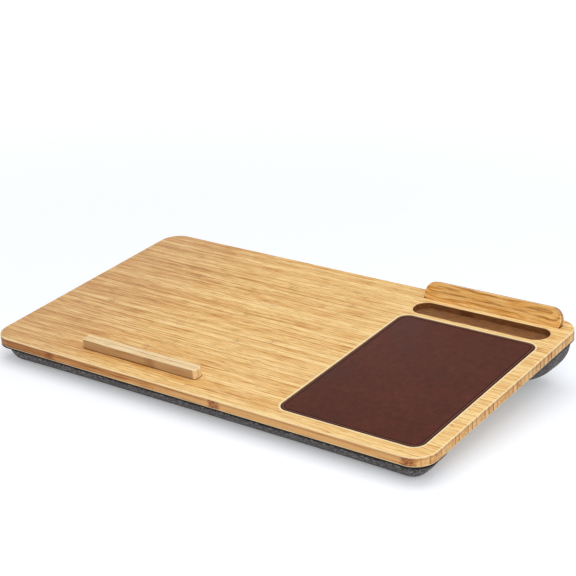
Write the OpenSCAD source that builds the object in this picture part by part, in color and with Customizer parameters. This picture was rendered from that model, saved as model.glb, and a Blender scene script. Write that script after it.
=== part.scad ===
// Lap desk: a bamboo board on two cloth bolsters that slope it towards the user,
// with an inlaid mouse pad, a laptop stop, a phone slot and a lift-out phone rest.
// X runs left to right, Y to the back, Z up. The bolsters stand on z = 0.

/* [Board] */
// Length of the board, left to right
board_l = 520; // [440:5:620]
// Depth of the board along its slope
board_w = 292; // [284:2:340]
// Thickness of the board
board_t = 10; // [9.5:0.5:16]
// Plan radius of the board's corners
board_r = 22; // [8:1:40]
// Easing of the board's top edges
ease_top = 1.2; // [0.4:0.1:2]
// Chamfer of the board's bottom edges
ease_bottom = 0.8; // [0.4:0.1:2]
// Slope of the board down to the front, in degrees
slope = 7; // [4:0.1:10]
// Height of the board's middle over the surface, square to the board
mid_h = 46; // [43:0.5:80]

/* [Mouse pad] */
// Width of the mouse pad
pad_l = 151.5; // [120:0.5:200]
// Board left behind the mouse pad, for the phone slot and the rest
pad_back = 59.3; // [54:0.1:90]
// Corner radius of the mouse pad
pad_r = 11; // [4:1:25]
// Margin from the pad to the board's right edge
pad_side = 16; // [10:1:30]
// Margin from the pad to the board's front edge
pad_front = 16.7; // [10:0.1:20]
// Thickness of the pad's leather
leather_t = 1.6; // [1:0.1:2.5]
// Easing of the leather's upper edge
leather_ease = 0.5; // [0.2:0.1:0.8]
// Thickness of the backing under the leather
backing_t = 1.4; // [0.8:0.1:2.5]
// How far the backing stops short of the leather's edge
backing_inset = 1; // [0.5:0.5:4]
// How far the leather lies below the board's face
pad_sink = 0.3; // [0.1:0.1:0.8]
// Easing of the recess's rim
pad_rim = 0.6; // [0.2:0.1:1]
// Gap between the pad and its recess
pad_gap = 0.3; // [0.1:0.05:0.6]

/* [Laptop stop] */
// Length of the laptop stop
stop_l = 146; // [80:1:200]
// Depth of the laptop stop
stop_w = 11.8; // [9:0.1:16]
// Height of the laptop stop over the board
stop_h = 10.2; // [8.5:0.1:16]
// Plan radius of the stop's corners
stop_r = 4; // [2:0.5:4]
// Easing of the stop's top edges
stop_ease = 1.6; // [0.5:0.1:2]
// Middle of the stop, left of the board's middle
stop_x = 80; // [40:1:120]
// Middle of the stop from the board's front edge
stop_front = 28.3; // [22:0.1:40]
// Depth of the shallow seat that the stop stands in
seat_d = 1; // [0.5:0.1:2]
// Gap between the stop and its seat
seat_gap = 0.2; // [0.1:0.05:0.5]

/* [Stop screws] */
// Number of wood screws that hold the stop from below
screw_n = 2; // [2:1:4]
// Distance from the stop's end to the outer screws
screw_end = 18; // [10:1:30]
// Diameter of a screw
screw_d = 3.5; // [2.5:0.5:4.5]
// Diameter of a screw's head
screw_head_d = 7; // [6:0.5:8.5]
// Reach of a screw into the stop, over the seat
screw_grip = 7; // [4:0.5:7.5]
// Clearance round a screw in its hole
screw_gap = 0.1; // [0.05:0.05:0.3]

/* [Phone slot] */
// Length of the phone slot at its mouth
slot_l = 152.5; // [110:0.5:180]
// Width of the phone slot at its mouth
slot_w = 28.5; // [22:0.5:30]
// Depth of the phone slot
slot_d = 7; // [4:0.5:7.5]
// Strip of board between the mouse pad and the slot
slot_strip = 6.8; // [5:0.1:10]
// Easing of the slot's rim
slot_ease = 0.6; // [0.3:0.1:1]

/* [Phone rest] */
// Length of the lift-out phone rest
rest_l = 154; // [110:1:170]
// Width of the phone rest's face
rest_w = 25.4; // [20:0.2:28]
// Thickness of the phone rest
rest_t = 7; // [5:0.5:7.5]
// Lean of the phone rest back from square to the board, in degrees
rest_lean = 24.5; // [15:0.5:28]
// Easing of the phone rest's edges
rest_ease = 1; // [0.4:0.1:1.6]
// Strip of board between the slot and the rest's face
rest_strip = 5.1; // [4:0.1:6]
// Depth of the groove along the rest's front face
groove_d = 6.3; // [4:0.1:6.5]
// Gap between the rest and the groove on each side
groove_gap = 0.3; // [0.2:0.05:0.5]

/* [Bolsters] */
// Inset of the bolsters from the board's short edges
bolster_side = 3; // [1.8:0.1:30]
// Depth of the front bolster's top outline
front_w = 56; // [50:1:80]
// Depth of the rear bolster's top outline
rear_w = 74; // [66:1:90]
// Inset of the bolsters from the board's long edges
bolster_margin = 2; // [1.8:0.1:8]
// Plan radius of a bolster's corners next to the board's long edges
bolster_outer_r = 20; // [12:1:24]
// Plan radius of a bolster's corners towards the middle
bolster_inner_r = 27; // [10:1:28]
// Plan radius of a bolster's outer corners where it stands
bolster_foot_r = 8; // [6:1:12]
// How far the front bolster's ends pull in towards the surface
front_end_in = 16; // [6:1:40]
// How far the front bolster's long sides pull in
front_side_in = 13; // [6:1:18]
// How far the rear bolster's ends pull in towards the surface
rear_end_in = 80; // [10:1:100]
// How far the rear bolster's long sides pull in
rear_side_in = 27; // [10:1:31]
// Thickness of the base boards that carry the bolsters
base_t = 1.2; // [1:0.1:4]
// How far a base board stands out past its bolster
base_lip = 1; // [0.4:0.1:1.4]
// Thickness of the cloth cover with its lining
cover_t = 1.4; // [1:0.1:3]
// Space between the foam core and the cover
core_gap = 0.2; // [0.1:0.05:0.5]

/* [Hidden] */
$fn = 64;
bamboo = [0.88, 0.72, 0.47];
bamboo_lid = [0.85, 0.66, 0.40];
leather_brown = [0.33, 0.20, 0.17];
charcoal = [0.29, 0.30, 0.32];
near_black = [0.09, 0.09, 0.09];
foam_grey = [0.75, 0.75, 0.72];
over = 1;                    // how far a cut runs on past a face
edge_steps = 4;              // flats that make up an eased edge
corner_steps = 12;           // steps round each corner of a bolster
drop_steps = 14;             // steps down a bolster's side
front_curve = 1.2;           // 1 gives a straight side, 2 an elliptic one
rear_curve = 2;
mid_z = mid_h * cos(slope);
// Puts the middle of the whole desk over the origin
y_shift = (board_t - ease_bottom + ease_top) * sin(slope) / 2;

pad_x = board_l / 2 - pad_side - pad_l / 2;
pad_w = board_w - pad_front - pad_back;
pad_y = -board_w / 2 + pad_front + pad_w / 2;
pad_depth = leather_t + backing_t + pad_sink;
pad_out = pad_gap + pad_rim;   // from the leather's edge to the mouth of its recess
slot_y = pad_y + pad_w / 2 + slot_strip + slot_w / 2;
stop_y = -board_w / 2 + stop_front;
rest_y = slot_y + slot_w / 2 + rest_strip;   // where the rest's front face meets the board
head_h = (screw_head_d - screw_d) / 2;
screw_pitch = (stop_l - 2 * screw_end) / (screw_n - 1);
screw_tip = screw_d;
base_z = -board_t - base_t;
bolster_half_l = board_l / 2 - bolster_side;

module in_board_frame() {
  translate([0, -y_shift, mid_z]) rotate([slope, 0, 0]) children();
}

// Local X along the rest, Z up its front face, Y through its thickness
module in_rest_frame() {
  translate([pad_x, rest_y, 0]) rotate([-rest_lean, 0, 0]) children();
}

// Outline of one eased edge, r being its outside reach: the foot chamfered, the top rounded
function edge_points(r, t, top, foot) = concat(
  [[r - foot, -t], [r, -t + foot]],
  [for (i = [0:edge_steps]) let (a = 90 * i / edge_steps)
    [r - top + top * cos(a), -top + top * sin(a)]]);

function both_sides(half) = concat(half,
  [for (i = [len(half) - 1:-1:0]) [-half[i][0], half[i][1]]]);

module along_x(l) {
  rotate([90, 0, 90]) translate([0, 0, -l / 2]) linear_extrude(l) children();
}

module along_y(l) {
  rotate([90, 0, 0]) translate([0, 0, -l / 2]) linear_extrude(l) children();
}

// Slab with round plan corners and eased edges, its top face on z = 0
module eased_slab(l, w, t, r, top, foot) {
  for (sx = [-1, 1], sy = w > 2 * r ? [-1, 1] : [0])
    translate([sx * (l / 2 - r), sy * (w / 2 - r), 0])
      rotate_extrude() polygon(concat([[0, -t]], edge_points(r, t, top, foot), [[0, 0]]));
  along_x(l - 2 * r) polygon(both_sides(edge_points(w / 2, t, top, foot)));
  if (w > 2 * r) along_y(w - 2 * r) polygon(both_sides(edge_points(l / 2, t, top, foot)));
}

module rounded_plate(l, w, t, r) {
  linear_extrude(t) {
    square([l - 2 * r, w], center = true);
    square([l, w - 2 * r], center = true);
    for (sx = [-1, 1], sy = [-1, 1])
      translate([sx * (l / 2 - r), sy * (w / 2 - r)]) circle(r);
  }
}

// Outline of a pocket's wall, r being its reach at the mouth, its rim eased
function wall_points(r, d, ease) = [[r - ease, -d], [r - ease, -ease], [r, 0], [r, over]];

// Pocket with round corners and an eased rim, cut from z = 0 down. l, w and r are the
// mouth's, and w = 2 * r makes it round-ended
module pocket(l, w, d, r, ease) {
  for (sx = [-1, 1], sy = w > 2 * r ? [-1, 1] : [0])
    translate([sx * (l / 2 - r), sy * (w / 2 - r), 0])
      rotate_extrude() polygon(concat([[0, -d]], wall_points(r, d, ease), [[0, over]]));
  along_x(l - 2 * r) polygon(both_sides(wall_points(w / 2, d, ease)));
  if (w > 2 * r) along_y(w - 2 * r) polygon(both_sides(wall_points(l / 2, d, ease)));
}

module at_screws() {
  for (i = [0:screw_n - 1])
    translate([-stop_x - stop_l / 2 + screw_end + i * screw_pitch, stop_y, 0]) children();
}

// One wood screw from the board's underside up, or its hole where gap is above zero
module screw_shape(gap) {
  r = screw_d / 2 + gap;
  translate([0, 0, -board_t]) cylinder(h = head_h, r1 = screw_head_d / 2 + gap, r2 = r);
  translate([0, 0, -board_t]) cylinder(h = board_t - seat_d + screw_grip - screw_tip, r = r);
  translate([0, 0, screw_grip - seat_d - screw_tip]) cylinder(h = screw_tip, r1 = r, r2 = gap + 0.4);
}

module desk_board() {
  color(bamboo) in_board_frame() difference() {
    eased_slab(board_l, board_w, board_t, board_r, ease_top, ease_bottom);
    translate([pad_x, pad_y, 0])
      pocket(pad_l + 2 * pad_out, pad_w + 2 * pad_out, pad_depth, pad_r + pad_out, pad_rim);
    translate([-stop_x, stop_y, -seat_d])
      rounded_plate(stop_l + 2 * seat_gap, stop_w + 2 * seat_gap, seat_d + over, stop_r + seat_gap);
    translate([pad_x, slot_y, 0]) pocket(slot_l, slot_w, slot_d, slot_w / 2, slot_ease);
    in_rest_frame() translate([-rest_l / 2 - groove_gap, -groove_gap, -groove_d])
      cube([rest_l + 2 * groove_gap, rest_t + 2 * groove_gap, groove_d + rest_w]);
    at_screws() screw_shape(screw_gap);
  }
}

module mouse_pad() {
  color(leather_brown) in_board_frame() translate([pad_x, pad_y, -pad_sink])
    eased_slab(pad_l, pad_w, leather_t, pad_r, leather_ease, leather_ease / 2);
}

module mouse_pad_backing() {
  color(near_black) in_board_frame() translate([pad_x, pad_y, -pad_depth])
    rounded_plate(pad_l - 2 * backing_inset, pad_w - 2 * backing_inset, backing_t,
                  pad_r - backing_inset);
}

module laptop_stop() {
  color(bamboo) in_board_frame() difference() {
    translate([-stop_x, stop_y, stop_h])
      eased_slab(stop_l, stop_w, stop_h + seat_d, stop_r, stop_ease, seat_gap);
    at_screws() screw_shape(screw_gap);
  }
}

module stop_screws() {
  color("silver") in_board_frame() at_screws() screw_shape(0);
}

module phone_rest() {
  color(bamboo_lid) in_board_frame() in_rest_frame()
    translate([0, 0, rest_w / 2 - groove_d]) rotate([90, 0, 0])
      eased_slab(rest_l, rest_w, rest_t, rest_w / 2, rest_ease, rest_ease);
}

// Points of a bolster's plan outline: [x, y], counter-clockwise, with a and b its
// front and rear edges, ra and rb the corner radii there
function plan_ring(half_l, a, b, ra, rb) =
  [for (c = [[1, 1, 0], [-1, 1, 90], [-1, -1, 180], [1, -1, 270]], i = [0:corner_steps])
    let (r = c[1] > 0 ? rb : ra, q = c[2] + 90 * i / corner_steps)
      [c[0] * (half_l - r) + r * cos(q), (c[1] > 0 ? b - r : a + r) + r * sin(q)]];

// Height of the surface that the desk stands on, seen from the board, lifted by up
function floor_z(y, up) = -mid_h - y * tan(slope) + up / cos(slope);

// A bolster's top outline, grown by lip: its front and rear edges and the corner radii
// there. side is -1 for the bolster at the board's front and 1 for the one at its rear
function bolster_plan(side, w, lip) =
  let (y_out = board_w / 2 - bolster_margin, outer = bolster_outer_r + lip,
       inner = bolster_inner_r + lip)
    side < 0 ? [-y_out - lip, -y_out + w + lip, outer, inner]
             : [y_out - w - lip, y_out + lip, inner, outer];

// Closed pillow between the base board and the surface, its top outline inset by skin
// and carried up by above. Its outer corners grow sharper towards the surface
module pillow(side, w, end_in, side_in, curve, skin, above) {
  plan = bolster_plan(side, w, -skin);
  foot = bolster_foot_r - skin;
  rings = [for (k = [0:drop_steps])
    let (q = 90 * k / drop_steps, s = 1 - pow(cos(q), 2 / curve), d = pow(sin(q), 2 / curve),
         a = plan[0] + side_in * s, b = plan[1] - side_in * s, room = (b - a) / 2 - 0.5,
         ra = side < 0 ? plan[2] * (1 - s) + foot * s : plan[2],
         rb = side > 0 ? plan[3] * (1 - s) + foot * s : plan[3])
      [for (p = plan_ring(bolster_half_l - skin - end_in * s, a, b, min(ra, room), min(rb, room)))
        [p[0], p[1], base_z * (1 - d) + floor_z(p[1], skin) * d]]];
  lid = [for (p = rings[0]) [p[0], p[1], base_z + above]];
  levels = above > 0 ? concat([lid], rings) : rings;
  n = len(rings[0]);
  last = len(levels) - 1;
  polyhedron(
    points = [for (ring = levels, p = ring) p],
    faces = concat(
      [[for (j = [n - 1:-1:0]) j]],
      [for (k = [0:last - 1], j = [0:n - 1]) let (m = (j + 1) % n)
        [k * n + j, k * n + m, (k + 1) * n + m, (k + 1) * n + j]],
      [[for (j = [0:n - 1]) last * n + j]]),
    convexity = 4);
}

module front_pillow(skin, above) {
  pillow(-1, front_w, front_end_in, front_side_in, front_curve, skin, above);
}

module rear_pillow(skin, above) {
  pillow(1, rear_w, rear_end_in, rear_side_in, rear_curve, skin, above);
}

// Thin board between a bolster and the desk board, a lip larger than the bolster
module base_plate(side, w) {
  plan = bolster_plan(side, w, base_lip);
  translate([0, 0, base_z]) linear_extrude(base_t)
    polygon(plan_ring(bolster_half_l + base_lip, plan[0], plan[1], plan[2], plan[3]));
}

module front_base() {
  color(near_black) in_board_frame() base_plate(-1, front_w);
}

module rear_base() {
  color(near_black) in_board_frame() base_plate(1, rear_w);
}

module front_foam() {
  color(foam_grey) in_board_frame() front_pillow(cover_t + core_gap, 0);
}

module rear_foam() {
  color(foam_grey) in_board_frame() rear_pillow(cover_t + core_gap, 0);
}

module front_cover() {
  color(charcoal) in_board_frame() difference() {
    front_pillow(0, 0);
    front_pillow(cover_t, over);
  }
}

module rear_cover() {
  color(charcoal) in_board_frame() difference() {
    rear_pillow(0, 0);
    rear_pillow(cover_t, over);
  }
}

desk_board();
mouse_pad();
mouse_pad_backing();
laptop_stop();
stop_screws();
phone_rest();
front_base();
front_foam();
front_cover();
rear_base();
rear_foam();
rear_cover();
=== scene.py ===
import math

import bmesh
import bpy
from mathutils import Matrix, Vector


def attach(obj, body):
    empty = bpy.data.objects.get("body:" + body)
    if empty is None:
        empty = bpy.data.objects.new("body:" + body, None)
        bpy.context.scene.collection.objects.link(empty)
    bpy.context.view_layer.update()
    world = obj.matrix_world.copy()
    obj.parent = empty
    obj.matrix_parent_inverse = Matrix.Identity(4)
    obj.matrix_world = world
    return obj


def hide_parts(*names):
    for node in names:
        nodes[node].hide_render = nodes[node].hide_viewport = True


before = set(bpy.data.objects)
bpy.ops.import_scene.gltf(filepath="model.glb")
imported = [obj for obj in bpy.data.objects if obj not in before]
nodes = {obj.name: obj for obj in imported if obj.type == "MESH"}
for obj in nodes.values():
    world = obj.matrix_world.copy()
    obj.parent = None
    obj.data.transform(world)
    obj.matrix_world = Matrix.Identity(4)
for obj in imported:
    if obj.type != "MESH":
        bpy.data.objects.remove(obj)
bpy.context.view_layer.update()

millimetre = 0.001

# The desk board's own frame: X right, Y up its slope, Z square to it, zero on its top face
desk = dict(slope=7.0, middleHeight=46.0, length=520.0, width=292.0, thickness=10.0, cornerRadius=22.0,
            easeTop=1.2, easeBottom=0.8)
slope = math.radians(desk["slope"])
centring = (desk["thickness"] - desk["easeBottom"] + desk["easeTop"]) * math.sin(slope) / 2
boardOrigin = Vector((0, -centring, desk["middleHeight"] * math.cos(slope))) * millimetre
boardTurn = Matrix.Rotation(slope, 3, "X")
boardUp = boardTurn @ Vector((0, 0, 1))


def onBoard(x, y, z):  # a point of the board's frame in millimetres, as a place in the scene
    return boardTurn @ (Vector((x, y, z)) * millimetre) + boardOrigin


def srgb(r, g, b):  # a colour as it looks on screen, 0 to 255, for a shader socket
    def channel(c):
        c /= 255
        return c / 12.92 if c <= 0.04045 else ((c + 0.055) / 1.055) ** 2.4
    return (channel(r), channel(g), channel(b), 1.0)


# Camera at the photograph's viewing angle, solved in the board's frame
view = dict(eye=(868.54, -1082.35, 684.69), right=(0.80532, 0.58750, -0.07938),
            up=(-0.18954, 0.38203, 0.90451), lens=96.82)


def addCamera():
    right = (boardTurn @ Vector(view["right"])).normalized()
    back = right.cross(boardTurn @ Vector(view["up"])).normalized()
    turn = Matrix((right, back.cross(right), back)).transposed().to_4x4()
    camera = bpy.data.objects.new("camera", bpy.data.cameras.new("camera"))
    camera.data.lens = view["lens"]
    camera.data.sensor_width = 36
    camera.matrix_world = Matrix.Translation(onBoard(*view["eye"])) @ turn
    bpy.context.scene.collection.objects.link(camera)
    bpy.context.scene.camera = camera


addCamera()
print("camera set")


class Channel:  # one shader socket; sums on it add Math nodes to its material
    def __init__(self, finish, socket):
        self.finish, self.socket = finish, socket

    def maths(self, operation, *values):
        return self.finish.add("ShaderNodeMath", dict(operation=operation), dict(enumerate(values)))

    def output(self, name):  # another output of the same node
        return Channel(self.finish, self.socket.node.outputs[name])

    def __add__(self, other):
        return self.maths("ADD", self, other)

    def __sub__(self, other):
        return self.maths("SUBTRACT", self, other)

    def __rsub__(self, other):
        return self.maths("SUBTRACT", other, self)

    def __mul__(self, other):
        return self.maths("MULTIPLY", self, other)

    def __truediv__(self, other):
        return self.maths("DIVIDE", self, other)

    def __gt__(self, other):
        return self.maths("GREATER_THAN", self, other)

    def __lt__(self, other):
        return self.maths("LESS_THAN", self, other)

    def __abs__(self):
        return self.maths("ABSOLUTE", self)

    def floor(self):
        return self.maths("FLOOR", self)

    def least(self, other):
        return self.maths("MINIMUM", self, other)

    def most(self, other):
        return self.maths("MAXIMUM", self, other)

    def sine(self):
        return self.maths("SINE", self)

    def smooth(self, low, high, start=0.0, end=1.0):  # eased step between low and high
        return self.finish.add("ShaderNodeMapRange", dict(interpolation_type="SMOOTHSTEP"),
                               {"Value": self, "From Min": low, "From Max": high,
                                "To Min": start, "To Max": end})

    def ramp(self, *stops):  # colours along a value
        return self.finish.add("ShaderNodeValToRGB", dict(stops=stops), {"Fac": self})

    __radd__, __rmul__ = __add__, __mul__


class Finish:  # one material, or a world's light, built round its shader
    def __init__(self, name, world=None, **shader):
        self.block = world or bpy.data.materials.new(name)
        self.block.use_nodes = True
        self.tree = self.block.node_tree
        self.shader = self.tree.nodes["Background" if world else "Principled BSDF"]
        self.surface(**shader)

    def add(self, kind, settings=None, inputs=None, output=0):
        node = self.tree.nodes.new(kind)
        for name, value in (settings or {}).items():
            if name == "stops":
                first, last = node.color_ramp.elements
                (first.position, first.color), (last.position, last.color) = value[0], value[-1]
                for position, colour in value[1:-1]:
                    node.color_ramp.elements.new(position).color = colour
            else:
                setattr(node, name, value)
        for name, value in (inputs or {}).items():
            self.feed(node.inputs[name], value)
        return Channel(self, node.outputs[output])

    def feed(self, socket, value):
        if isinstance(value, Channel):
            self.tree.links.new(value.socket, socket)
        else:
            socket.default_value = value

    def surface(self, **sockets):  # Base_Color=..., Roughness=...
        for name, value in sockets.items():
            self.feed(self.shader.inputs[name.replace("_", " ")], value)

    def place(self, origin, tilt):  # millimetres in a frame tilted about X
        turn = Matrix.Rotation(-tilt, 3, "X")
        return self.add("ShaderNodeMapping", dict(vector_type="POINT"),
                        {"Vector": self.add("ShaderNodeTexCoord", output="Object"),
                         "Location": turn @ origin / -millimetre, "Rotation": (-tilt, 0, 0),
                         "Scale": (1 / millimetre,) * 3})

    def split(self, vector):
        parts = self.add("ShaderNodeSeparateXYZ", None, {0: vector})
        return parts, parts.output("Y"), parts.output("Z")

    def join(self, x, y, z):
        return self.add("ShaderNodeCombineXYZ", None, {"X": x, "Y": y, "Z": z})

    def noise(self, vector, scale=1.0, detail=2.0, roughness=0.5, distortion=0.0):
        return self.add("ShaderNodeTexNoise", dict(noise_dimensions="3D"),
                        {"Vector": vector, "Scale": scale, "Detail": detail,
                         "Roughness": roughness, "Distortion": distortion})

    def cells(self, vector, scale):  # distance to the nearest border between cells
        return self.add("ShaderNodeTexVoronoi", dict(feature="DISTANCE_TO_EDGE"),
                        {"Vector": vector, "Scale": scale, "Randomness": 1.0})

    def chance(self, value):  # three even random numbers for each whole value
        picked = self.add("ShaderNodeTexWhiteNoise", dict(noise_dimensions="1D"), {"W": value},
                          output="Color")
        return self.split(picked)

    def stretch(self, vector, lengths):  # the same vector counted in other lengths along X, Y and Z
        return self.add("ShaderNodeVectorMath", dict(operation="DIVIDE"), {0: vector, 1: lengths})

    def length(self, vector):
        return self.add("ShaderNodeVectorMath", dict(operation="LENGTH"), {0: vector}, output="Value")

    def inside(self, x, y, size, radius):  # how far inside a rounded rectangle, negative outside it
        overX, overY = abs(x) - (size[0] / 2 - radius), abs(y) - (size[1] / 2 - radius)
        corner = self.length(self.join(overX.most(0.0), overY.most(0.0), 0.0))
        return radius - corner - overX.most(overY).least(0.0)

    def seen(self):  # 1 for what the camera, reflections and glass show
        path = self.add("ShaderNodeLightPath", output="Is Camera Ray")
        return path.most(path.output("Is Glossy Ray")).most(path.output("Is Transmission Ray"))

    def facing(self, direction):  # 1 where the surface faces that way, -1 where it faces away
        normal = self.add("ShaderNodeTexCoord", output="Normal")
        return self.add("ShaderNodeVectorMath", dict(operation="DOT_PRODUCT"), {0: normal, 1: direction},
                        output="Value")

    def mix(self, factor, first, second):  # colours
        return self.add("ShaderNodeMix", dict(data_type="RGBA", blend_type="MIX"),
                        {0: factor, 6: first, 7: second}, output=2)

    def bump(self, height, depth, strength=1.0):  # depth in metres for a height of 1
        self.surface(Normal=self.add("ShaderNodeBump", None,
                                     {"Height": height, "Distance": depth, "Strength": strength}))


def paint(piece, finish):
    piece.data.materials.clear()
    piece.data.materials.append(finish.block)
    return piece


# Leather pad, let into the board: rounded edges, and a pressed line inside its border
pad = dict(centre=(168.25, -21.3), size=(151.5, 216.0), radius=11.0, thickness=1.6, sink=0.3,
           edge=0.7, edgeSteps=5, footEase=0.25, border=3.0, lineWidth=1.5, lineDepth=0.45, lineSteps=4,
           ridgeHighlight=1.9, cornerSteps=14, clouds=0.02, blotches=0.13, rubbedSize=(3.0, 19.0, 3.0),
           pores=0.85, creases=0.27, grain=0.8, grainDepth=0.00016, lineAndRimShadeShare=0.85, ridgeHighlightShare=0.8,
           colour=srgb(84, 40, 29), pale=srgb(112, 62, 49), dark=srgb(50, 21, 15),
           ridgeHighlightColour=srgb(126, 78, 64), lineAndRimShadeColour=srgb(34, 14, 10))

# Bamboo: strips glued side by side, lengths in millimetres
bamboo = dict(strip=7.4, drift=2.6, driftLength=31.0, glueLine=0.56, glueAtEnds=2.6, endLines=0.85,
              seed=3.7, rowStep=37.0, slowSize=(150.0, 1.0, 60.0), fibreSize=(30.0, 1.0, 1.0),
              streakSize=(64.0, 2.2, 2.6), dashSize=(15.0, 1.4, 1.4), speckleSize=(2.6, 0.9, 0.9),
              base=0.05, contrast=0.38, skin=0.14, slow=0.6, fibres=2.3, streaks=1.9, dashes=0.46,
              sideShare=0.95, sideShadeOffset=0.03, paintedEdgeHighlight=0.35, grainDepth=0.00006,
              jointSpacing=210.5, jointPhase=32.0, jointTurn=5.3, jointOdd=3.1, edgeRow=-142.5,
              jointTop=0.4, jointSide=0.8, jointBow=5.0, jointWander=3.0, jointLine=1.8, jointZone=9.0,
              leftShadeAmount=0.26, leftShadeFrom=-50.0, leftShadeTo=-255.0, leftShadeOnTop=0.35, leftShadeOnSides=1.45,
              pale=srgb(254, 218, 152), middle=srgb(240, 194, 122), warm=srgb(218, 160, 84),
              deep=srgb(184, 116, 46), dash=srgb(160, 92, 34), joint=srgb(124, 58, 22),
              jointShade=srgb(176, 100, 46), glue=srgb(136, 74, 28), side=srgb(206, 136, 68),
              sidePale=srgb(238, 180, 112), sideDeep=srgb(146, 80, 30), eased=srgb(255, 235, 188),
              leftShadeAndSheen=srgb(192, 158, 130), recessShade=srgb(82, 40, 18), recessShadePale=srgb(128, 74, 38))


def bambooWood(finish, place, up, look):
    x, y, z = finish.split(place)
    wander = finish.noise(finish.join(0.0, y / look["driftLength"], look["seed"]), detail=0.0)
    across = (y + (wander - 0.5) * look["drift"]) / look["strip"]
    row = across.floor()
    across = across - row                                   # 0 to 1 over each strip
    tone, turn, odd = finish.chance(row + look["seed"])
    flipped = across + (turn > 0.5) * (1 - across * 2)      # which side of a strip was the stalk's skin
    fromGlue = across.least(1 - across) * look["strip"]
    inRow = finish.join(x, row * look["rowStep"], z)
    slow = finish.noise(finish.stretch(inRow, look["slowSize"]), detail=1.0)
    fibres = finish.noise(finish.stretch(place, look["fibreSize"]), detail=3.0, roughness=0.7)
    streaks = finish.noise(finish.stretch(place, look["streakSize"]), detail=2.0, roughness=0.6)
    dashes = finish.noise(finish.stretch(place, look["dashSize"]), detail=2.0).smooth(0.57, 0.67)
    # Darker towards the left end: painted shade, and a painted greyish sheen
    leftShadeAndSheen = x.smooth(look["leftShadeFrom"], look["leftShadeTo"]) * look["leftShadeAmount"]
    paintedLightToRight = x * (look["leftShadeAmount"] / desk["length"])
    shade = (tone * look["contrast"] + flipped * look["skin"] + (slow - 0.5) * look["slow"]
             + (fibres - 0.5) * look["fibres"] + (streaks - 0.5) * look["streaks"]
             + leftShadeAndSheen * look["leftShadeOnTop"] - paintedLightToRight + look["base"])
    colour = shade.ramp((0.0, look["pale"]), (0.36, look["middle"]), (0.7, look["warm"]),
                        (1.0, look["deep"]))
    colour = finish.mix(dashes * look["dashes"], colour, look["dash"])
    # The painted sheen: paler and greyer towards the left end
    colour = finish.mix(leftShadeAndSheen, colour, look["leftShadeAndSheen"])
    # Sides and ends of the strips: their own darker edge-grain colour, and painted shade, more towards the
    # left
    faceUp = abs(finish.facing(up))
    side = faceUp.smooth(0.75, 0.3)
    endGrain = abs(finish.facing((1.0, 0.0, 0.0))).smooth(0.5, 0.9)
    darker = (tone - 0.5) * endGrain * 0.4 + leftShadeAndSheen * look["leftShadeOnSides"] - paintedLightToRight + look["sideShadeOffset"]
    sideColourAndShade = (shade + darker).ramp((0.0, look["sidePale"]), (0.5, look["side"]),
                                       (1.0, look["sideDeep"]))
    colour = finish.mix(side * (1 - endGrain * 0.45) * look["sideShare"], colour, sideColourAndShade)
    # The stalk's joints: a brown line, in a speckled darker stretch on both sides of it
    inner = y > look["edgeRow"]                             # the outermost strip's joints stay in phase
    along = ((x - look["jointPhase"]) / look["jointSpacing"]
             + (turn * look["jointTurn"] + odd * look["jointOdd"]) * inner + 0.5)
    fromJoint = abs((along - along.floor() - 0.5) * look["jointSpacing"]
                    + (across - 0.5) * (across - 0.5) * look["jointBow"]
                    + (streaks - 0.5) * look["jointWander"])
    strength = (odd.smooth(0.25, 0.95) * look["jointTop"]).most(side * look["jointSide"])
    strength = strength * (1 - endGrain)
    speckle = finish.noise(finish.stretch(place, look["speckleSize"]), detail=2.0).smooth(0.46, 0.56)
    line = fromJoint.smooth(look["jointLine"], 0.3) * (0.15 + fibres * 0.8) * (1 - side * 0.6)
    zone = fromJoint.smooth(look["jointZone"], 3.0) * (0.35 + side * 0.65)
    jointMask = (line + zone * speckle).least(1.0) * strength
    colour = finish.mix(zone * strength * (0.4 + side * 0.35), colour, look["jointShade"])
    colour = finish.mix(jointMask.least(0.85), colour, look["joint"])
    # Glue lines, wider where the strips' ends show
    glue = fromGlue.smooth(look["glueLine"], 0.1) * odd.smooth(0.1, 0.9, 0.16, 0.7)
    endLine = (fromGlue.smooth(look["glueLine"] * look["glueAtEnds"], 0.3) * endGrain
               * odd.smooth(0.3, 0.8))
    glue = glue + endLine * look["endLines"]
    colour = finish.mix(glue.least(0.9), colour, look["glue"])
    height = fibres * 0.5 + streaks * 0.2 - glue * 0.8 - line * strength * 0.2
    finish.bump(height, look["grainDepth"], 0.7)
    finish.surface(Roughness=0.42 + fibres * 0.16 + jointMask * 0.1)
    return colour, faceUp, (x, y, z)


def paintedEdgeHighlight(finish, colour, faceUp, look):  # eased edges painted paler: a painted highlight
    eased = faceUp.smooth(0.2, 0.6) * faceUp.smooth(0.98, 0.85)
    return finish.mix(eased * look["paintedEdgeHighlight"], colour, look["eased"])


# Thin satin lacquer on all the bamboo
woodGloss = dict(Specular_IOR_Level=0.22, Coat_Weight=0.04, Coat_Roughness=0.3)

# The stop at the front edge sits in a shallow seat, with a dark line round its foot: painted shade in the
# seat's gap
stop = dict(centre=(-80.0, -117.7), size=(146.0, 11.8), radius=4.0, height=10.2, footShadeHeight=0.8,
            footShadeShare=0.85, seatShadeShare=0.8, line=srgb(104, 58, 26))
stopWood = dict(bamboo, seed=21.3, strip=6.1, base=0.1, contrast=0.26, dashes=0.26, sideShare=0.85,
                paintedEdgeHighlight=0.5, jointTop=0.12, jointSide=0.3, jointPhase=55.0, endLines=0.12, edgeRow=-20.0,
                leftShadeAmount=0.0, pale=srgb(248, 222, 176), middle=srgb(238, 208, 158),
                warm=srgb(228, 186, 128), deep=srgb(206, 156, 92), sidePale=srgb(255, 228, 172),
                side=srgb(252, 209, 148), sideDeep=srgb(206, 150, 90))

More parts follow.
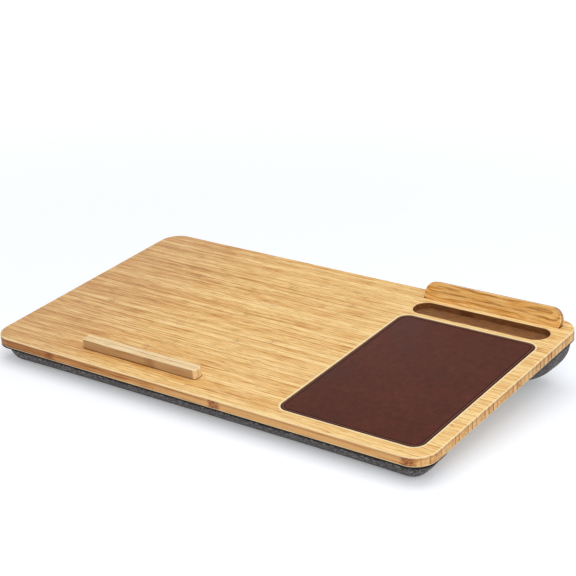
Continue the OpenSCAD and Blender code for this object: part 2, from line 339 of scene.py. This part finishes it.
# Where the board is painted pale as a highlight, or darker as painted shade, as distances from its outline
# or the pad's and heights
rims = dict(edge=(1.3, 0.8), topBand=(-1.5, -1.0), topShare=0.4, bottomBand=(-8.7, -9.1), bottomShare=0.95,
            shaded=(0.6, 0.2), shadedShare=0.3, padOuter=(-2.8, -1.9), padInner=(-0.5, -0.9), padHighlightShare=0.8,
            padGap=(-0.9, -0.5), padGapShadeShare=0.6)
# Inside the slot and the groove the bamboo is painted dark: painted shade
slots = dict(centre=(168.25, 116.5), reach=(79.5, 25.0), floor=-9.5, share=0.9, figure=(9.0, 1.2, 1.2))


def boardFinish():
    finish = Finish("bamboo", **woodGloss)
    place = finish.place(boardOrigin, slope)
    colour, faceUp, (x, y, z) = bambooWood(finish, place, boardUp, bamboo)
    colour = paintedEdgeHighlight(finish, colour, faceUp, bamboo)
    fromEdge = finish.inside(x, y, (desk["length"], desk["width"]), desk["cornerRadius"])
    fromPad = finish.inside(x - pad["centre"][0], y - pad["centre"][1], pad["size"], pad["radius"])
    # The outer rims and the rim round the pad painted pale: a painted highlight
    edges = (z.smooth(*rims["topBand"]) * rims["topShare"]
             + z.smooth(*rims["bottomBand"]) * rims["bottomShare"])
    padRimHighlight = (fromPad.smooth(*rims["padOuter"]) * fromPad.smooth(*rims["padInner"])
              * z.smooth(-1.0, -0.6))
    wearAndHighlight = (fromEdge.smooth(*rims["edge"]) * edges).most(padRimHighlight * rims["padHighlightShare"])
    # A darker stretch under the top rim, and painted shade in the gap round the pad
    below = fromEdge.smooth(*rims["shaded"]) * z.smooth(-1.2, -1.7) * z.smooth(-4.2, -2.4)
    colour = finish.mix(below * rims["shadedShare"], colour, bamboo["sideDeep"])
    colour = finish.mix(wearAndHighlight, colour, bamboo["eased"])
    colour = finish.mix(fromPad.smooth(*rims["padGap"]) * rims["padGapShadeShare"], colour, bamboo["recessShade"])
    # The dark line round the stop's seat is painted shade
    fromStop = finish.inside(x - stop["centre"][0], y - stop["centre"][1], stop["size"], stop["radius"])
    seat = fromStop.smooth(-0.9, -0.3) * z.smooth(-1.5, -0.5)
    colour = finish.mix(seat * stop["seatShadeShare"], colour, stop["line"])
    # Slot and groove: painted shade inside them
    (slotX, slotY), (reachX, reachY) = slots["centre"], slots["reach"]
    inside = ((abs(x - slotX) < reachX) * (abs(y - slotY) < reachY) * z.smooth(-0.5, -1.1)
              * (z > slots["floor"]))
    figure = finish.noise(finish.stretch(place, slots["figure"]), detail=2.0).smooth(0.3, 0.7)
    recessShaded = finish.mix(figure, bamboo["recessShade"], bamboo["recessShadePale"])
    finish.surface(Base_Color=finish.mix(inside * slots["share"], colour, recessShaded))
    return finish


def stopFinish():
    finish = Finish("bamboo_stop", **woodGloss)
    place = finish.place(onBoard(*stop["centre"], stop["height"]), slope)
    colour, faceUp, (_, _, z) = bambooWood(finish, place, boardUp, stopWood)
    colour = paintedEdgeHighlight(finish, colour, faceUp, stopWood)
    # The dark line at the stop's foot is painted shade
    foot = z.smooth(stop["footShadeHeight"] - stop["height"], 0.2 - stop["height"])
    finish.surface(Base_Color=finish.mix(foot * stop["footShadeShare"], colour, stop["line"]))
    return finish


# The rest plate leans back in its groove; its face shows the wavy figure of a flat-sawn stalk
restPlate = dict(foot=(168.25, 127.1, 0.0), lean=24.5, wave=9.0, waveSize=(46.0, 40.0, 19.0), rings=1.5,
                 ringShare=0.7, ovalX=63.0, ovalZ=13.0, ovalStretch=2.3, brokenSize=(26.0, 8.0, 2.4),
                 figureDrop=18.0)
restWood = dict(bamboo, seed=11.9, strip=40.0, base=0.2, contrast=0.1, dashes=0.3, sideShare=0.85,
                jointTop=0.0, jointSide=0.0, endLines=0.0, edgeRow=-200.0, leftShadeAmount=0.0,
                pale=srgb(255, 208, 132), middle=srgb(246, 186, 102), warm=srgb(226, 156, 72),
                deep=srgb(180, 108, 40), sidePale=srgb(178, 118, 66), side=srgb(146, 94, 50),
                sideDeep=srgb(104, 62, 30))


def restFinish():
    finish = Finish("bamboo_rest", **woodGloss)
    lean = math.radians(restPlate["lean"])
    straight = finish.place(onBoard(*restPlate["foot"]), slope - lean)
    x, y, z = finish.split(straight)
    swell = finish.noise(finish.stretch(straight, restPlate["waveSize"]), detail=1.0) - 0.5
    height = z + swell * restPlate["wave"]
    towards = boardTurn @ Matrix.Rotation(-lean, 3, "X") @ Vector((0, 1, 0))
    colour, faceUp, _ = bambooWood(finish, finish.join(x, height + restPlate["figureDrop"], y), towards,
                                   restWood)
    # Oval rings towards both ends, run together to long lines between them
    toOval = (abs(x) - restPlate["ovalX"]) / restPlate["ovalStretch"]
    ring = finish.length(finish.join(toOval.most(toOval * 0.15), height - restPlate["ovalZ"], 0.0))
    figure = (ring * restPlate["rings"]).sine().smooth(0.0, 1.0)
    broken = finish.noise(finish.stretch(straight, restPlate["brokenSize"]), detail=2.0).smooth(0.3, 0.6)
    colour = finish.mix(figure * broken * restPlate["ringShare"], colour, restWood["dash"])
    finish.surface(Base_Color=paintedEdgeHighlight(finish, colour, faceUp, restWood))
    return finish


paint(nodes["desk_board"], boardFinish())
paint(nodes["laptop_stop"], stopFinish())
paint(nodes["phone_rest"], restFinish())
print("bamboo pieces finished")


def outline(half, low, high, lowRadius, highRadius, steps):  # a rounded rectangle, counter-clockwise
    points = []
    for sx, sy, start in ((1, 1, 0), (-1, 1, 90), (-1, -1, 180), (1, -1, 270)):
        side, radius = (high, highRadius) if sy > 0 else (low, lowRadius)
        for i in range(steps + 1):
            a = math.radians(start + 90 * i / steps)
            points.append((sx * (half - radius) + radius * math.cos(a),
                           side - sy * radius + radius * math.sin(a)))
    return points


def loft(name, rings, toScene):  # skin between closed rings of as many points, with both ends closed
    mesh = bmesh.new()
    made = [[mesh.verts.new(toScene(*point)) for point in ring] for ring in rings]
    count = len(rings[0])
    for low, high in zip(made, made[1:]):
        for i in range(count):
            mesh.faces.new((low[i], low[(i + 1) % count], high[(i + 1) % count], high[i]))
    mesh.faces.new(list(reversed(made[0])))
    mesh.faces.new(made[-1])
    bmesh.ops.recalc_face_normals(mesh, faces=mesh.faces)
    piece = bpy.data.objects.new(name, bpy.data.meshes.new(name))
    mesh.to_mesh(piece.data)
    mesh.free()
    bpy.context.scene.collection.objects.link(piece)
    return piece


def smoothShade(piece, angle):
    piece.data.shade_smooth()
    piece.data.set_sharp_from_angle(angle=math.radians(angle))
    return piece


def buildPad():
    length, width = pad["size"]
    foot, ease = -pad["thickness"], pad["footEase"]
    levels = [(pad["edge"], foot), (ease, foot), (0.0, foot + ease)]
    for i in range(pad["edgeSteps"] + 1):
        a = math.radians(90 * i / pad["edgeSteps"])
        levels.append((pad["edge"] * (1 - math.cos(a)), pad["edge"] * (math.sin(a) - 1)))
    half, steps = pad["lineWidth"] / 2, pad["lineSteps"]
    for i in range(-steps, steps + 1):  # the pressed line's round trough
        depth = pad["lineDepth"] * (1 + math.cos(math.pi * i / steps)) / 2
        levels.append((pad["border"] + half * i / steps, -depth))
    rings = []
    for inset, z in levels:
        radius = pad["radius"] - inset
        ring = outline(length / 2 - inset, inset - width / 2, width / 2 - inset, radius, radius,
                       pad["cornerSteps"])
        rings.append([(x, y, z) for x, y in ring])
    middleX, middleY = pad["centre"]
    piece = loft("pad_leather", rings,
                 lambda x, y, z: onBoard(middleX + x, middleY + y, z - pad["sink"]))
    return smoothShade(piece, 50)


def leatherFinish():
    finish = Finish("pad_leather", Specular_IOR_Level=0.1)
    place = finish.place(onBoard(pad["centre"][0], pad["centre"][1], -pad["sink"]), slope)
    clouds = finish.noise(place, pad["clouds"], detail=4.0, roughness=0.6, distortion=0.8)
    blotches = finish.noise(place, pad["blotches"], detail=4.0, roughness=0.7)
    wearAndHighlight = finish.noise(finish.stretch(place, pad["rubbedSize"]), detail=3.0, roughness=0.6)
    pores, creases = (finish.cells(place, pad[name]) for name in ("pores", "creases"))
    grain = finish.noise(place, pad["grain"], detail=3.0, roughness=0.7)
    shade = ((clouds - 0.5) * 0.5 + (blotches - 0.5) * 0.45 + (wearAndHighlight - 0.5) * 0.2
             + (grain - 0.5) * 0.5 + 0.5)
    colour = shade.ramp((0.15, pad["dark"]), (0.5, pad["colour"]), (0.9, pad["pale"]))
    pits = pores.smooth(0.10, 0.0)
    folds = creases.smooth(0.06, 0.0) * 0.35
    # The pressed line, a painted highlight band outside it, and the dark rim, painted shade in the gap
    # round the pad
    x, y, _ = finish.split(place)
    within = finish.inside(x, y, pad["size"], pad["radius"])
    rimShade = within.smooth(1.2, 0.7)
    pressedLineAndRimShade = abs(within - pad["border"]).smooth(pad["lineWidth"] * 0.65, 0.2).most(rimShade)
    ridgeHighlight = abs(within - pad["ridgeHighlight"]).smooth(0.7, 0.1)
    colour = finish.mix(pits * 0.2 + folds * 0.2, colour, pad["dark"])
    colour = finish.mix(ridgeHighlight * pad["ridgeHighlightShare"], colour, pad["ridgeHighlightColour"])
    colour = finish.mix(pressedLineAndRimShade * pad["lineAndRimShadeShare"], colour, pad["lineAndRimShadeColour"])
    finish.surface(Base_Color=colour, Roughness=0.56 + (clouds - 0.5) * 0.25 + (grain - 0.5) * 0.12)
    finish.bump(grain * 0.35 - pits * 0.6 - folds * 0.7 + blotches * 0.2, pad["grainDepth"], 0.8)
    return finish


padPiece = paint(buildPad(), leatherFinish())
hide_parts("mouse_pad")
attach(padPiece, "desk")
print("leather pad made")


# Bolsters: stuffed cloth between the thin base boards and the surface, lengths in millimetres
bolsters = dict(halfLength=257.0, underside=-11.8, margin=2.0, outerRadius=18.0, innerRadius=27.0,
                footRadius=8.0, voxel=3.5, skin=0.8, cap=2.0, held=4.0, heldUntil=-5.0, frames=20,
                cornerSteps=12, dropSteps=14)
# From top to foot the ends pull in by endIn, or leftEndIn, and the sides by outerIn and innerIn
front = dict(side=-1, width=56.0, endIn=15.5, leftIn=6.0, leftEndIn=7.5, outerIn=10.0, innerIn=10.0,
             curve=1.3)
rear = dict(side=1, width=74.0, endIn=80.0, leftIn=0.0, leftEndIn=80.0, outerIn=27.5, innerIn=33.0,
            curve=2.15)
stuffing = dict(quality=5, mass=0.3, tension_stiffness=12, compression_stiffness=12, shear_stiffness=4,
                bending_stiffness=0.6, use_pressure=True, uniform_pressure_force=4.0)


def floorHeight(y, up):  # the surface that the desk stands on, seen from the board
    return -desk["middleHeight"] - y * math.tan(slope) + up / math.cos(slope)


def span(shape, margin):  # front and back of a bolster or its base on the board
    outside = desk["width"] / 2 - margin
    inside = desk["width"] / 2 - shape["width"] + margin - bolsters["margin"] * 2
    return (-outside, -inside) if shape["side"] < 0 else (inside, outside)


def bolsterRings(shape, skin):  # outlines from the base board down to the surface
    low, high = span(shape, bolsters["margin"] + skin)
    outer, inner, foot = (bolsters[name] - skin for name in ("outerRadius", "innerRadius", "footRadius"))
    lowIn, highIn = (shape["outerIn"], shape["innerIn"])[::-shape["side"]]
    widest = bolsters["halfLength"] - skin
    rings = []
    for k in range(bolsters["dropSteps"] + 1):
        q = math.radians(90 * k / bolsters["dropSteps"])
        inward = 1 - max(math.cos(q), 0) ** (2 / shape["curve"])
        down = math.sin(q) ** (2 / shape["curve"])
        a, b = low + lowIn * inward, high - highIn * inward
        half = widest - shape["endIn"] * inward
        left = widest - shape["leftIn"] - shape["leftEndIn"] * inward
        outerHere = outer * (1 - inward) + foot * inward
        radii = [min(radius, (b - a) / 2 - 0.5) for radius in (outerHere, inner)]
        ring = outline(half, a, b, *radii[::-shape["side"]], bolsters["cornerSteps"])
        above = bolsters["underside"] * (1 - down)
        rings.append([(x * left / half if x < 0 else x, y, above + floorHeight(y, skin) * down)
                      for x, y in ring])
    return rings


def applyAll(piece):  # the modifiers' result becomes the mesh
    graph = bpy.context.evaluated_depsgraph_get()
    result = bpy.data.meshes.new_from_object(piece.evaluated_get(graph))
    piece.modifiers.clear()
    old, piece.data = piece.data, result
    bpy.data.meshes.remove(old)


def stuff(piece):  # the cloth swells under pressure, held at the base board
    start = [v.co.copy() for v in piece.data.vertices]
    held = piece.vertex_groups.new(name="held")
    for i, co in enumerate(start):
        depth = (boardTurn.transposed() @ (co - boardOrigin)).z / millimetre
        nearTop = (depth - bolsters["underside"] - bolsters["heldUntil"]) / bolsters["held"]
        held.add([i], min(1, max(0, nearTop)), "REPLACE")
    cloth = piece.modifiers.new("stuffing", "CLOTH")
    for name, value in stuffing.items():
        setattr(cloth.settings, name, value)
    cloth.settings.effector_weights.gravity = 0
    cloth.settings.vertex_group_mass = held.name
    cloth.collision_settings.use_collision = False
    cloth.point_cache.frame_start, cloth.point_cache.frame_end = 1, bolsters["frames"]
    for step in range(1, bolsters["frames"] + 1):
        bpy.context.scene.frame_set(step)
    applyAll(piece)
    bpy.context.scene.frame_set(1)
    cap = bolsters["cap"] * millimetre
    for vertex, before in zip(piece.data.vertices, start):
        move = vertex.co - before
        if move.length > cap:
            vertex.co = before + move * (cap / move.length)


def settle(piece):  # flat where it stands, and never above its base board
    for vertex in piece.data.vertices:
        vertex.co.z = max(vertex.co.z, 0.0)
        local = boardTurn.transposed() @ (vertex.co - boardOrigin)
        if local.z > bolsters["underside"] * millimetre:
            local.z = bolsters["underside"] * millimetre
            vertex.co = boardTurn @ local + boardOrigin


def buildBolster(name, shape, finish, *replaced):
    piece = loft(name, bolsterRings(shape, bolsters["skin"]), onBoard)
    piece.modifiers.new("voxels", "REMESH").voxel_size = bolsters["voxel"] * millimetre
    applyAll(piece)
    stuff(piece)
    soften = piece.modifiers.new("soften", "SMOOTH")
    soften.factor, soften.iterations = 0.5, 1
    applyAll(piece)
    settle(piece)
    piece.modifiers.new("rounder", "SUBSURF").levels = 1
    applyAll(piece)
    settle(piece)
    piece.data.shade_smooth()
    paint(piece, finish)
    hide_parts(*replaced)
    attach(piece, "desk")
    print(name, "made,", len(piece.data.polygons), "faces")


# Charcoal felt with pale flecks
felt = dict(thread=0.9, alongSize=(3.2, 0.5, 0.5), acrossSize=(0.5, 2.6, 2.6), fleckSize=(2.8, 1.5, 1.5),
            depth=0.00022, colour=srgb(87, 81, 80), dark=srgb(44, 39, 38), fleck=srgb(200, 196, 193))


def clothFinish():
    finish = Finish("bolster_cloth", Sheen_Weight=0.12, Sheen_Roughness=0.5, Specular_IOR_Level=0.2)
    place = finish.place(boardOrigin, slope)
    x, y, z = finish.split(place)
    alongGrain = finish.noise(finish.stretch(place, felt["alongSize"]), detail=2.0, roughness=0.7)
    acrossGrain = finish.noise(finish.stretch(place, felt["acrossSize"]), detail=2.0, roughness=0.7)
    heather = finish.noise(finish.stretch(place, felt["fleckSize"]), detail=3.0, roughness=0.7)
    shade = alongGrain * 0.5 + acrossGrain * 0.5
    tone = (shade - 0.5) * 0.8 + (heather - 0.5) * 1.1 + 0.48
    colour = tone.ramp((0.22, felt["dark"]), (0.5, felt["colour"]), (0.82, felt["fleck"]))
    turns = 2 * math.pi / felt["thread"]
    weave = (x * turns).sine() * ((y + z * 1.3) * turns).sine()
    finish.surface(Base_Color=colour, Roughness=0.86 + (heather - 0.5) * 0.12)
    finish.bump(weave * 0.25 + shade * 0.8, felt["depth"], 0.9)
    return finish


cloth = clothFinish()
buildBolster("front_bolster", front, cloth, "front_cover", "front_foam")
buildBolster("rear_bolster", rear, cloth, "rear_cover", "rear_foam")


# Thin black base boards: the dark line between the bamboo and the cloth
bases = dict(margin=0.8, halfLength=259.2, outerRadius=19.0, innerRadius=27.0, top=-10.0, ease=0.4,
             grain=1.4, dusty=0.05, dark=srgb(24, 19, 17), pale=srgb(46, 40, 37))


def buildBase(name, shape, finish, replaced):
    low, high = span(shape, bases["margin"])
    radii = (bases["outerRadius"], bases["innerRadius"])[::-shape["side"]]
    ease, top, bottom = bases["ease"], bases["top"], bolsters["underside"]
    rings = []
    for inset, z in ((ease, top), (0.0, top - ease), (0.0, bottom + ease), (ease, bottom)):
        ring = outline(bases["halfLength"] - inset, low + inset, high - inset,
                       *(radius - inset for radius in radii), bolsters["cornerSteps"])
        rings.append([(x, y, z) for x, y in ring])
    piece = paint(smoothShade(loft(name, rings, onBoard), 50), finish)
    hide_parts(replaced)
    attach(piece, "desk")


def baseFinish():
    finish = Finish("base_black", Specular_IOR_Level=0.2)
    place = finish.place(boardOrigin, slope)
    grain = finish.noise(place, bases["grain"], detail=3.0, roughness=0.7)
    dusty = finish.noise(place, bases["dusty"], detail=2.0)
    colour = (grain * 0.6 + dusty * 0.4).ramp((0.3, bases["dark"]), (0.7, bases["pale"]))
    finish.surface(Base_Color=colour, Roughness=0.8 + (grain - 0.5) * 0.2)
    finish.bump(grain, 0.0001, 0.6)
    return finish


# Under the leather, and the screws that hold the stop from below
backing = dict(cells=0.9, dark=srgb(26, 25, 25), pale=srgb(48, 46, 45))
steel = dict(turning=(0.3, 0.3, 4.0), dull=srgb(168, 168, 170), bright=srgb(214, 214, 214))


def backingFinish():
    finish = Finish("pad_backing")
    place = finish.place(boardOrigin, slope)
    cells = finish.noise(place, backing["cells"], detail=2.0)
    finish.surface(Base_Color=cells.ramp((0.3, backing["dark"]), (0.7, backing["pale"])), Roughness=0.9)
    finish.bump(cells, 0.0001)
    return finish


def screwFinish():
    finish = Finish("screw_steel", Metallic=1.0)
    place = finish.place(boardOrigin, slope)
    wearAndHighlight = finish.noise(finish.stretch(place, steel["turning"]), detail=2.0)
    finish.surface(Base_Color=wearAndHighlight.ramp((0.2, steel["dull"]), (0.8, steel["bright"])),
                   Roughness=0.3 + wearAndHighlight * 0.2)
    return finish


black = baseFinish()
buildBase("front_base_board", front, black, "front_base")
buildBase("rear_base_board", rear, black, "rear_base")
paint(nodes["mouse_pad_backing"], backingFinish())
paint(nodes["stop_screws"], screwFinish())
print("bases, backing and screws finished")


# Plain pale floor and soft studio light
studio = dict(floorHalf=6.0, floorDrop=0.0002, paper=(0.79, 0.82, 0.875, 1.0),
              floorGlow=0.29, farGlow=0.85, nearBy=0.4, farOff=3.5, sky=0.42,
              keyPlace=(0.5, 0.2, 6.0), keySize=5.6, keyPower=130.0,
              fillPlace=(1.6, -1.4, 1.8), fillSize=1.6, fillPower=26.0)


def addLamp(name, place, size, power):
    lamp = bpy.data.lights.new(name, "AREA")
    lamp.shape, lamp.size, lamp.energy = "DISK", size, power
    holder = bpy.data.objects.new(name, lamp)
    holder.location = place
    holder.rotation_euler = (-Vector(place)).to_track_quat("-Z", "Y").to_euler()
    bpy.context.scene.collection.objects.link(holder)


def addFloor():
    half = studio["floorHalf"]
    mesh = bpy.data.meshes.new("floor")
    corners = [(-half, -half, 0), (half, -half, 0), (half, half, 0), (-half, half, 0)]
    mesh.from_pydata(corners, [], [(0, 1, 2, 3)])
    floor = bpy.data.objects.new("floor", mesh)
    bpy.context.scene.collection.objects.link(floor)
    floor.location.z = -studio["floorDrop"]
    finish = Finish("floor_paper", Base_Color=studio["paper"], Roughness=0.95, Specular_IOR_Level=0.1,
                    Emission_Strength=1.0)
    away = finish.length(finish.add("ShaderNodeTexCoord", output="Object"))
    glow = away.smooth(studio["nearBy"], studio["farOff"], studio["floorGlow"], studio["farGlow"])
    finish.surface(Emission_Color=finish.seen() * glow)
    paint(floor, finish)


def addStudio():
    addFloor()
    world = bpy.data.worlds.new("studio")
    bpy.context.scene.world = world
    sky = Finish("studio", world, Color=(1, 1, 1, 1))
    sky.surface(Strength=sky.seen() * (1 - studio["sky"]) + studio["sky"])
    addLamp("key", studio["keyPlace"], studio["keySize"], studio["keyPower"])
    addLamp("fill", studio["fillPlace"], studio["fillSize"], studio["fillPower"])


addStudio()
bpy.context.scene.view_settings.view_transform = "Standard"
print("floor and lights set")

bpy.context.view_layer.update()
